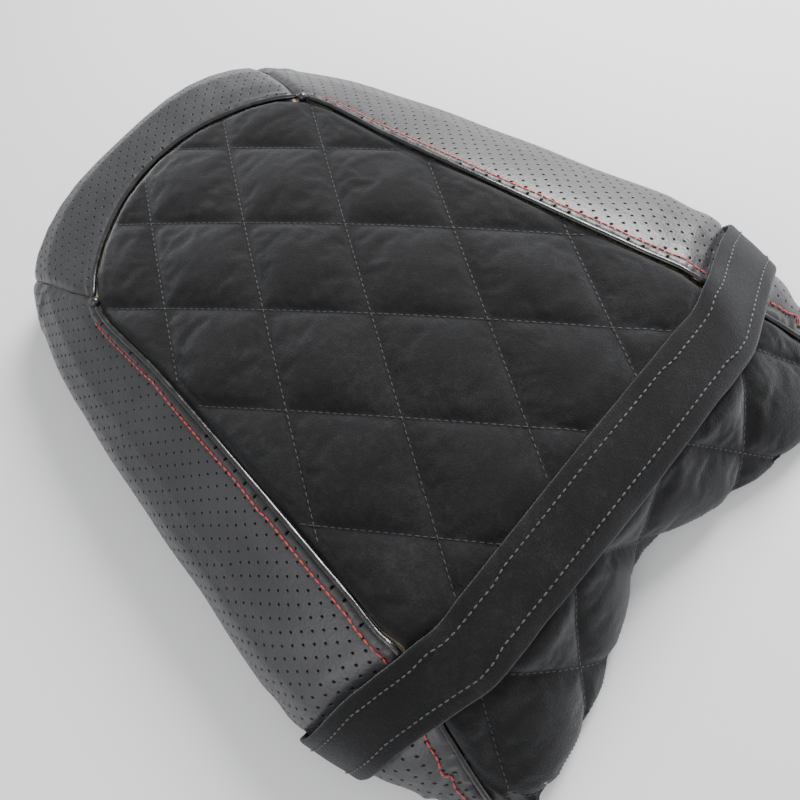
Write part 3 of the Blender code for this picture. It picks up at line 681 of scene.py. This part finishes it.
def cut_grid(outline, first, second, origin):
    """A flat grid of cells between two cell vectors, cut to an outline.

    Returns the bmesh; its open edge lies on the outline."""
    corners = cell_numbers(outline, first, second, origin)
    low = np.floor(corners.min(0)).astype(int) - 1
    high = np.ceil(corners.max(0)).astype(int) + 1
    count = high - low
    bm = bmesh.new()
    centre = origin + (low[0] + count[0] / 2) * first + (low[1] + count[1] / 2) * second
    width, height = first * count[0], second * count[1]
    matrix = Matrix(((width[0], height[0], 0.0, centre[0]), (width[1], height[1], 0.0, centre[1]),
                     (0.0, 0.0, 1.0, 0.0), (0.0, 0.0, 0.0, 1.0)))
    bmesh.ops.create_grid(bm, x_segments=int(count[0]), y_segments=int(count[1]), size=0.5,
                          matrix=matrix)
    flat = np.array([v.co.xy[:] for v in bm.verts])
    kept = inside(flat, outline)
    gone = [v for v, keep in zip(bm.verts[:], kept) if not keep]
    bmesh.ops.delete(bm, geom=gone, context="VERTS")
    loose = [v for v in bm.verts if not v.link_faces]
    bmesh.ops.delete(bm, geom=loose, context="VERTS")
    edge = [v for v in bm.verts if v.is_boundary]
    places, _ = nearest_on(np.array([v.co.xy[:] for v in edge]), outline, closed=True)
    for vert, place in zip(edge, places):
        vert.co.x, vert.co.y = place
    return bm


def wrap(bm, rolled, heights):
    """Lay a flat bmesh on the skin. A vertex's height adds to its own z."""
    flat = np.array([v.co.xy[:] for v in bm.verts])
    own = np.array([v.co.z for v in bm.verts])
    places = rolled.points(flat) + rolled.normals(flat) * (own + heights)[:, None]
    for vert, place in zip(bm.verts, places):
        vert.co = place
    return places


def outwards(bm):
    """Turn faces that look into the seat."""
    face = max(bm.faces, key=lambda f: f.calc_center_median().z)
    bm.normal_update()
    if face.normal.z < 0:
        bmesh.ops.reverse_faces(bm, faces=bm.faces)


def stretches(kept):
    """Stretches of a path's points that are kept and long enough to sew."""
    breaks = np.nonzero(np.diff(kept.astype(int)))[0] + 1
    return [stretch for stretch in np.split(np.arange(len(kept)), breaks)
            if kept[stretch[0]] and len(stretch) > 3]


def sew(bm, points, normals, pitch, length, radius, sides=6):
    """A row of stitches along a path."""
    row = bmesh.new()
    run = run_of(points)
    for at in np.arange(pitch / 2, run[-1] - length / 2, pitch):
        ends = [place_at(at + side * length / 2, run, points) for side in (-1, 1)]
        facing = Vector(place_at(at, run, normals)).normalized()
        along = Vector(ends[1] - ends[0])
        half = along.length / 2
        along.normalize()
        side = facing.cross(along).normalized()
        facing = along.cross(side)
        matrix = Matrix((side * radius, facing * radius * 0.8, along * half)).transposed().to_4x4()
        matrix.translation = (ends[0] + ends[1]) / 2
        bmesh.ops.create_uvsphere(row, u_segments=sides, v_segments=5, radius=1.0, matrix=matrix)
    pour(row, bm)


# ---- strap

def strap_rings():
    """The CAD strap's sections from the middle out: for each, five outer and five inner points."""
    bm = merged_copy("passenger_strap")
    middle = [v for v in bm.verts if abs(v.co.x) < 0.00002]
    tree = SKIN["tree"]

    def split(ring):
        ordered = sorted(ring, key=lambda v: v.co.y)
        pairs = [ordered[k:k + 2] for k in range(0, 10, 2)]
        gaps = [[tree.find_nearest(v.co)[3] for v in pair] for pair in pairs]
        pairs = [pair if gap[0] > gap[1] else pair[::-1] for pair, gap in zip(pairs, gaps)]
        return np.array([[v.co[:] for v in pair] for pair in pairs])

    sections = {0: split(middle)}
    for sign in (-1, 1):
        seen = set(middle)
        ring = middle
        for step in range(1, 24):
            ring = list({e.other_vert(v) for v in ring for e in v.link_edges} - seen)
            ring = [v for v in ring if v.co.x * sign > 0]
            if len(ring) != 10:
                break
            seen.update(ring)
            sections[sign * step] = split(ring)
    bm.free()
    return np.array([sections[k] for k in sorted(sections)])


STRAP = strap_rings()


def strap_press(places, edge=0.0035):
    """How much of its own height a cover keeps: none under the strap, all away from it."""
    _, distance = nearest_on(places, STRAP[:, 2, 1])
    share = np.clip((distance - STRAP_HALF - STRAP_CLEAR) / edge, 0.0, 1.0)
    return share * share * (3 - 2 * share), distance - STRAP_HALF


# ---- quilted top

def quilt_vectors():
    """Sides of a quilted diamond on the rolled-out top: each is (across, along)."""
    use = settings()
    across, along = use.quilt_across / 2, use.quilt_along / 2
    return np.array([across, -along]), np.array([-across, -along])


def quilt_origin():
    return np.array([0.0, settings().quilt_start])


def quilt_numbers(flat):
    """Count of diamonds from the first crossing, along both families of stitch lines."""
    first, second = quilt_vectors()
    return cell_numbers(flat, first, second, quilt_origin())


def quilt_off(flat):
    """Distance from the nearest stitch line of each family."""
    first, second = quilt_vectors()
    between = abs(first[0] * second[1] - first[1] * second[0]) / np.linalg.norm(first)
    numbers = quilt_numbers(flat)
    return np.abs(numbers - np.round(numbers)) * between


def quilt_heights(flat, places, edge, lift):
    """Height of the quilting, drawn down at the panel's edge and flat under the strap."""
    use = settings()
    off = quilt_off(flat)
    rise = (1 - np.exp(-off[:, 0] / use.quilt_curve)) * (1 - np.exp(-off[:, 1] / use.quilt_curve))
    heights = use.quilt_puff * rise - use.quilt_sunk
    share, beyond = strap_press(places)
    pushed = 0.0010 * np.exp(-((beyond - 0.009) / 0.006) ** 2)
    heights = heights * share + pushed * share - 0.0004 * (1 - share)
    return heights * np.clip(edge / EDGE_FADE, 0, 1) + (seam_dip(edge, 0.0022, 0.0024) + lift)


def seam_dip(distance, depth, reach):
    """How far a cover is drawn down beside its seam."""
    return -depth * np.exp(-(distance / reach) ** 1.3)


def settle(piece, held, reach):
    """Let the suede settle between the places where it is held, by a short cloth simulation."""
    seams = piece.vertex_groups.new(name="held")
    for index, weight in enumerate(held):
        seams.add([index], float(weight), "REPLACE")
    change = piece.modifiers.new("cloth", "CLOTH")
    cloth = change.settings
    cloth.vertex_group_mass = "held"
    cloth.quality = 5
    cloth.mass = 0.02
    cloth.tension_stiffness = 12
    cloth.compression_stiffness = 12
    cloth.shear_stiffness = 6
    cloth.bending_stiffness = 0.4
    cloth.air_damping = 2
    cloth.use_pressure = True
    cloth.uniform_pressure_force = 14.0
    cloth.shrink_min = -0.014
    cloth.effector_weights.gravity = 0
    change.collision_settings.use_collision = False
    scene = bpy.context.scene
    for number in range(1, CLOTH_FRAMES + 1):
        scene.frame_set(number)
    made = piece.evaluated_get(bpy.context.evaluated_depsgraph_get()).data
    start = np.array([v.co[:] for v in piece.data.vertices])
    moved = np.array([v.co[:] for v in made.vertices]) - start
    facing = np.array([v.normal[:] for v in piece.data.vertices])
    sunk = np.minimum((moved * facing).sum(1) + CLOTH_SINK, 0.0)
    moved -= facing * sunk[:, None]
    length = np.maximum(lengths(moved), 1e-9)
    moved *= (reach * np.tanh(length / reach) / length)[:, None]
    piece.modifiers.remove(change)
    piece.vertex_groups.remove(seams)
    scene.frame_set(1)
    for vert, place in zip(piece.data.vertices, start + moved):
        vert.co = place


class SEAT_OT_quilted_top(bpy.types.Operator):
    """Quilted suede over the cushion, with its seams pulled down and its wadding behind it"""
    bl_idname = "seat.quilted_top"
    bl_label = "Quilted top"

    def execute(self, context):
        rolled = SKIN["lengthways"]
        outline = outline_of("top_panel", rolled)
        first, second = quilt_vectors()
        origin = quilt_origin()
        for name, cells, sink, thickness, nodes, slot in (
                ("quilted_top", QUILT_CELLS, 0.0, 0.0009, ("top_panel",), "suede"),
                ("quilt_batting", BATTING_CELLS, 0.0024, 0.0018, ("quilt_wadding",), "wadding")):
            bm = cut_grid(outline, first / cells, second / cells, origin)
            flat = np.array([v.co.xy[:] for v in bm.verts])
            places = rolled.points(flat)
            _, edge = nearest_on(flat, outline, closed=True)
            heights = quilt_heights(flat, places, edge, -sink)
            if name == "quilt_batting":
                heights -= 0.001 * np.exp(-edge / 0.004)
            wrap(bm, rolled, heights)
            outwards(bm)
            material = (suede("quilted_suede", settings().suede) if slot == "suede"
                        else cellular("batting", (0.42, 0.42, 0.43)))
            piece = add_object(bm, name, [material], nodes[0])
            if name == "quilted_top":
                off = quilt_off(flat).min(1)
                share, _ = strap_press(places)
                held = 1 - np.clip((off - 0.0007) / 0.0025, 0, 1)
                held = np.maximum(held, np.clip(1 - (edge - 0.003) / 0.004, 0, 1))
                held = np.maximum(held, 1 - share)
                settle(piece, held, CLOTH_REACH)
            refine(piece, "SOLIDIFY", thickness=thickness, offset=-1.0, use_rim=True)
            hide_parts(*nodes)
            if name == "quilted_top":
                self.stitches(rolled, outline)
        return {"FINISHED"}

    def stitches(self, rolled, outline):
        """Thread along every stitch line inside the outline."""
        first, second = quilt_vectors()
        origin = quilt_origin()
        low = np.floor(quilt_numbers(outline).min(0)).astype(int)
        high = np.ceil(quilt_numbers(outline).max(0)).astype(int)
        bm = bmesh.new()
        for family in (0, 1):
            step, run = (first, second) if family == 0 else (second, first)
            for number in range(low[family], high[family] + 1):
                shares = np.arange(low[1 - family], high[1 - family], 0.02)
                flat = origin + number * step + shares[:, None] * run
                kept = inside(flat, outline)
                _, edge = nearest_on(flat, outline, closed=True)
                places = rolled.points(flat)
                _, beyond = strap_press(places)
                kept &= (edge > 0.0028) & (beyond > 0.001)
                if kept.sum() < 4:
                    continue
                normals = rolled.normals(flat)
                heights = quilt_heights(flat, places, edge, STITCH_RISE)
                places = places + normals * heights[:, None]
                for stretch in stretches(kept):
                    sew(bm, places[stretch], normals[stretch], settings().stitch_pitch,
                        settings().stitch_pitch * 0.72, 0.00030)
        material = thread("black_thread", (0.012, 0.012, 0.013))
        add_object(bm, "quilt_stitches", [material], "top_panel")


# ---- perforated covers

def perforated(outline, material, rolled, heights, name, node):
    """A panel of vinyl with a pit in every few cells of its mesh."""
    cell = settings().hole_pitch / HOLE_CELLS / np.sqrt(2)
    first, second = np.array([cell, cell]), np.array([cell, -cell])
    origin = np.array([0.0, 0.0])
    bm = cut_grid(outline, first, second, origin)
    centres = np.array([f.calc_center_median().xy[:] for f in bm.faces])
    _, edge = nearest_on(centres, outline, closed=True)
    numbers = cell_numbers(centres, first, second, origin) - 0.5
    wanted = (np.mod(np.round(numbers), HOLE_CELLS) == 1).all(1)
    places = rolled.points(centres)
    wanted &= (edge > HOLE_EDGE) & (places[:, 2] > HOLE_LOWEST)
    chosen = [f for f, want in zip(bm.faces[:], wanted) if want]
    bmesh.ops.inset_individual(bm, faces=chosen, thickness=HOLE_RIM)
    # the pits' bottom faces take slot 1, the painted shade finish
    for face in bmesh.ops.extrude_discrete_faces(bm, faces=chosen)["faces"]:
        face.material_index = 1
        for vert in face.verts:
            vert.co.z -= HOLE_DEPTH
    flat = np.array([v.co.xy[:] for v in bm.verts])
    wrap(bm, rolled, heights(flat, rolled.points(flat), outline))
    outwards(bm)
    piece = add_object(bm, name, [material, painted_pit_shade("hole_shade_" + name)], node)
    refine(piece, "SUBSURF", levels=1, render_levels=1)
    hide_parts(node)
    return piece


def side_heights(flat, places, outline):
    """Folded lip by the piping, a groove under the topstitch, and foam bulging beyond it."""
    _, edge = nearest_on(flat, outline, closed=True)
    _, seam = nearest_on(places, SKIN["seam"])
    stitch = settings().topstitch_gap
    lip = 0.0011 * np.exp(-((seam - stitch * 0.5) / (stitch * 0.33)) ** 2)
    groove = -0.0005 * np.exp(-((seam - stitch) / 0.0016) ** 2)
    bulge = 0.0012 * (1 - np.exp(-np.maximum(seam - stitch, 0.0) / 0.009))
    waves = np.sin(places[:, 1] * 71 + 1.3) * np.sin(places[:, 2] * 90 + places[:, 1] * 33)
    heights = lip + groove + bulge + 0.0005 * waves * np.clip((seam - 0.01) / 0.02, 0, 1)
    share, beyond = strap_press(places)
    pushed = 0.0011 * np.exp(-((beyond - 0.010) / 0.006) ** 2)
    heights = (heights + pushed) * share - 0.0003 * (1 - share)
    under = np.clip((places[:, 2] - 0.007) / 0.010, 0.0, 1.0)
    return heights * under + seam_dip(edge, 0.0018, 0.0016)


def tail_heights(flat, places, outline):
    """A low fold beside the tail's piping."""
    _, edge = nearest_on(flat, outline, closed=True)
    _, seam = nearest_on(places, SKIN["seam"])
    fold = 0.0009 * np.exp(-((seam - 0.0035) / 0.0016) ** 2)
    bulge = 0.0010 * (1 - np.exp(-np.maximum(seam - 0.006, 0.0) / 0.010))
    under = np.clip((places[:, 2] - 0.007) / 0.010, 0.0, 1.0)
    return (fold + bulge) * under + seam_dip(edge, 0.0018, 0.0016)


class SEAT_OT_perforated_covers(bpy.types.Operator):
    """Perforated vinyl on the sides and the tail, with a row of red topstitching on the sides"""
    bl_idname = "seat.perforated_covers"
    bl_label = "Perforated covers"

    def execute(self, context):
        material = vinyl("perforated_vinyl", settings().vinyl)
        red = bmesh.new()
        for side in ("left", "right"):
            rolled = SKIN["crossways"][-1 if side == "left" else 1]
            node = "side_panel_" + side
            # flat places here are (along the seat, down the side)
            outline = outline_of(node, rolled)
            perforated(outline, material, rolled, side_heights, "side_cover_" + side, node)
            self.topstitch(red, "piping_" + side, rolled, outline)
        add_object(red, "red_topstitch", [thread("red_thread", settings().topstitch, 0.35)],
                   "side_panel_left")
        rolled = SKIN["lengthways"]
        perforated(outline_of("tail_panel", rolled), material, rolled, tail_heights,
                   "tail_cover", "tail_panel")
        return {"FINISHED"}

    def topstitch(self, bm, piping, rolled, outline):
        """Red thread beside a length of piping."""
        line = bead_line(piping)
        line = line[np.argsort(-line[:, 1])]
        flat = rolled.flat(line)
        run = run_of(flat)
        flat = place_at(np.arange(0.0, run[-1], 0.002), run, flat)
        ahead = np.gradient(flat, axis=0)
        ahead /= lengths(ahead)[:, None]
        away = np.stack([-ahead[:, 1], ahead[:, 0]], 1)
        outer = inside(flat + away * 0.01, outline)
        away = away if outer.mean() > 0.5 else -away
        flat = flat + away * settings().topstitch_gap
        flat = np.array([flat[max(k - 3, 0):k + 4].mean(0) for k in range(len(flat))])
        places = rolled.points(flat)
        _, beyond = strap_press(places)
        kept = inside(flat, outline) & (beyond > 0.0005) & (places[:, 2] > 0.012)
        normals = rolled.normals(flat)
        heights = side_heights(flat, places, outline) + 0.00045
        places = places + normals * heights[:, None]
        for stretch in stretches(kept):
            sew(bm, places[stretch], normals[stretch], RED_PITCH, RED_LENGTH, 0.00046, sides=8)


# ---- piping

class SEAT_OT_piping(bpy.types.Operator):
    """Gloss beads in the seams between the suede and the vinyl"""
    bl_idname = "seat.piping"
    bl_label = "Piping"

    def execute(self, context):
        material = gloss_cord("gloss_piping")
        for node in PIPINGS:
            bm = merged_copy(node)
            piece = add_object(bm, node.replace("piping", "bead"), [material], node)
            refine(piece, "SUBSURF", levels=2, render_levels=2)
            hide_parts(node)
        tail = bead_line("piping_tail")
        knots = bmesh.new()
        for end, node in ((tail[0], "piping_left"), (tail[-1], "piping_right")):
            place = Vector((end + bead_line(node)[-1]) / 2)
            bmesh.ops.create_uvsphere(knots, u_segments=20, v_segments=12, radius=BEAD_JOINT,
                                      matrix=Matrix.Translation(place))
        add_object(knots, "bead_joints", [material], "piping_tail")
        return {"FINISHED"}


# ---- strap piece

class SEAT_OT_strap(bpy.types.Operator):
    """The hand strap: a folded suede band with rolled edges and two rows of stitching"""
    bl_idname = "seat.strap"
    bl_label = "Hand strap"

    def execute(self, context):
        bm = merged_copy("passenger_strap")
        bmesh.ops.join_triangles(bm, faces=bm.faces, angle_face_threshold=0.7,
                                 angle_shape_threshold=0.9)
        bm.verts.ensure_lookup_table()
        finder = KDTree(len(bm.verts))
        for vert in bm.verts:
            finder.insert(vert.co, vert.index)
        finder.balance()
        bm.verts.index_update()
        for section in STRAP:
            lift = length_one(section[2, 0] - section[2, 1])
            across = length_one(section[4, 0] - section[0, 0])
            for row, shift, rise in ((0, -0.0008, 0.0005), (1, -0.0008, -0.0003), (2, 0.0, 0.0003),
                                     (3, 0.0008, -0.0003), (4, 0.0008, 0.0005)):
                found = finder.find(section[row, 0])[1]
                bm.verts[found].co = Vector(section[row, 0] + across * shift + lift * rise)
        piece = add_object(bm, "hand_strap", [suede("strap_suede", settings().suede, 0.6)],
                           "passenger_strap")
        refine(piece, "SUBSURF", levels=2, render_levels=2)
        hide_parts("passenger_strap")
        rows = bmesh.new()
        for near, far in ((1, 0), (3, 4)):
            points, normals = [], []
            for section in STRAP:
                lift = length_one(section[2, 0] - section[2, 1])
                place = section[near, 0] * 0.86 + section[far, 0] * 0.14
                points.append(place + lift * 0.00008)
                normals.append(lift)
            sew(rows, np.array(points), np.array(normals), settings().stitch_pitch,
                0.0021, 0.00034, sides=8)
        add_object(rows, "strap_stitches", [thread("grey_thread", (0.055, 0.055, 0.058), 0.7)],
                   "passenger_strap")
        return {"FINISHED"}


# ---- underside

class SEAT_OT_staples(bpy.types.Operator):
    """Staples that hold the cover's hem under the base"""
    bl_idname = "seat.staples"
    bl_label = "Staples"

    def execute(self, context):
        bm = bmesh.new()
        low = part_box("top_panel")[0].z
        for node in COVERS:
            loop = SKIN["loops"][node]
            seam = nearest_on(loop, SKIN["seam"])[1]
            rim = np.abs(loop[:, 2] - low) < 0.0025
            raised = [SKIN["tree"].find_nearest(Vector(point) + Vector((0.0, 0.0, HEM_PROBE)))[3]
                      for point in loop]
            kept = rim & (seam > SEAM_REACH) & (np.array(raised) > HEM_PROBE * 0.75)
            points = loop[kept]
            if len(points) < 3:
                continue
            order = np.argsort(np.arctan2(points[:, 0], points[:, 1] if node != "top_panel"
                                          else -points[:, 1]))
            points = points[order]
            run = run_of(points)
            for at in np.arange(STAPLE_PITCH * 0.6, run[-1] - STAPLE_PITCH * 0.3, STAPLE_PITCH):
                here = Vector(place_at(at, run, points))
                there = Vector(place_at(at + 0.003, run, points))
                along = there - here
                along.z = 0.0
                if along.length < 0.0005:
                    continue
                along.normalize()
                out = Vector((here.x, here.y - 0.014, 0.0)).normalized()
                out = (out - along * out.dot(along)).normalized()
                up = Vector((0.0, 0.0, 1.0))
                sides = (along * STAPLE[0], out * STAPLE[1], up * STAPLE[2])
                matrix = Matrix(sides).transposed().to_4x4()
                matrix.translation = here + out * HEM_INSET
                matrix.translation.z = low - 0.0001
                made = bmesh.ops.create_cube(bm, size=1.0, matrix=matrix)["verts"]
                edges = list({e for v in made for e in v.link_edges})
                bmesh.ops.bevel(bm, geom=edges, offset=STAPLE_ROUNDING, segments=2, profile=0.5,
                                affect="EDGES", material=-1)
        add_object(bm, "hem_staples", [plated("staple_wire", (0.50, 0.50, 0.48), 0.3,
                                              (0.32, 0.24, 0.18))], "seat_pan")
        return {"FINISHED"}


class SEAT_OT_hardware(bpy.types.Operator):
    """Finishes of the foam, the base and its metal and rubber parts"""
    bl_idname = "seat.hardware"
    bl_label = "Base and hardware"

    def execute(self, context):
        finishes = {
            "seat_pan": moulded_plastic("filled_nylon", (0.018, 0.018, 0.019)),
            "foam_cushion": cellular("cushion_foam", (0.60, 0.53, 0.33)),
            "striker": plated("zinc_plate", (0.58, 0.56, 0.50), 0.34, (0.40, 0.36, 0.26)),
            "strap_plate": plated("zinc_plate_thin", (0.60, 0.58, 0.53), 0.36, (0.42, 0.38, 0.30)),
            "hook": plated("black_hook", (0.020, 0.020, 0.022), 0.42, (0.10, 0.09, 0.085), 0.6),
            "bolt": plated("bolt_zinc", (0.62, 0.60, 0.55), 0.30, (0.44, 0.38, 0.26)),
            "insert": plated("insert_brass", (0.68, 0.47, 0.18), 0.28, (0.42, 0.26, 0.10)),
            "bumper": rubber("bumper_rubber"),
        }
        for node, piece in NODES.items():
            if piece.hide_render:
                continue
            word = next((key for key in ("bolt", "insert", *finishes) if key in node), "seat_pan")
            piece.data.materials.clear()
            piece.data.materials.append(finishes[word])
            for polygon in piece.data.polygons:
                polygon.material_index = 0
        return {"FINISHED"}


# ---- stage

CAMERA_PLACE = (-0.0714, -0.16385, 0.3243)
CAMERA_RIGHT = (0.6516, -0.7355, -0.1857)
CAMERA_UP = (0.7390, 0.5603, 0.3741)
CAMERA_BACK = (-0.1711, -0.3810, 0.9086)
LENS = 32.0
LIGHTS = (
    ("key", (0.85, 0.18, 0.62), 0.50, 26.0),
    ("fill", (-0.85, -0.25, 0.75), 0.8, 5.0),
    ("front", (0.3, -0.9, 0.9), 1.2, 1.2),
)


class SEAT_OT_stage(bpy.types.Operator):
    """A pale floor, soft lights and the camera"""
    bl_idname = "seat.stage"
    bl_label = "Stage"

    def execute(self, context):
        scene = context.scene
        bm = bmesh.new()
        bmesh.ops.create_grid(bm, x_segments=8, y_segments=8, size=3.0)
        mesh = bpy.data.meshes.new("floor")
        bm.to_mesh(mesh)
        bm.free()
        mesh.materials.append(floor_finish("pale_floor"))
        floor = bpy.data.objects.new("floor", mesh)
        scene.collection.objects.link(floor)
        for name, place, size, power in LIGHTS:
            light = bpy.data.lights.new(name, "AREA")
            light.shape = "DISK"
            light.size = size
            light.energy = power
            lamp = bpy.data.objects.new(name, light)
            aim = Vector((0.0, 0.0, 0.03)) - Vector(place)
            lamp.matrix_world = (Matrix.Translation(place)
                                 @ aim.to_track_quat("-Z", "Y").to_matrix().to_4x4())
            scene.collection.objects.link(lamp)
        world = bpy.data.worlds.new("studio")
        world.use_nodes = True
        back = world.node_tree.nodes["Background"]
        back.inputs["Color"].default_value = (0.93, 0.94, 0.96, 1.0)
        back.inputs["Strength"].default_value = 0.70
        scene.world = world
        data = bpy.data.cameras.new("camera")
        data.lens = LENS
        data.sensor_width = 36.0
        data.clip_start = 0.01
        camera = bpy.data.objects.new("camera", data)
        turn = Matrix((CAMERA_RIGHT, CAMERA_UP, CAMERA_BACK)).transposed()
        turn = turn.to_quaternion().to_matrix().to_4x4()
        camera.matrix_world = Matrix.Translation(CAMERA_PLACE) @ turn
        scene.collection.objects.link(camera)
        scene.camera = camera
        return {"FINISHED"}


# ---- panel and registration

OPERATORS = (SEAT_OT_stage, SEAT_OT_quilted_top, SEAT_OT_perforated_covers, SEAT_OT_piping,
             SEAT_OT_strap, SEAT_OT_staples, SEAT_OT_hardware)


class SEAT_PT_sidebar(bpy.types.Panel):
    bl_idname = "SEAT_PT_sidebar"
    bl_label = "Passenger seat"
    bl_space_type = "VIEW_3D"
    bl_region_type = "UI"
    bl_category = "Seat"

    def draw(self, context):
        column = self.layout.column()
        for key in SeatSettings.__annotations__:
            column.prop(context.scene.seat_settings, key)
        for operator in OPERATORS:
            column.operator(operator.bl_idname)


CLASSES = (SeatSettings, *OPERATORS, SEAT_PT_sidebar)


def register():
    for item in CLASSES:
        bpy.utils.register_class(item)
    bpy.types.Scene.seat_settings = bpy.props.PointerProperty(type=SeatSettings)


def unregister():
    del bpy.types.Scene.seat_settings
    for item in reversed(CLASSES):
        bpy.utils.unregister_class(item)


def main():
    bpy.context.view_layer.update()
    register()
    for operator in OPERATORS:
        group, name = operator.bl_idname.split(".")
        getattr(getattr(bpy.ops, group), name)()


if __name__ == "__main__":
    main()
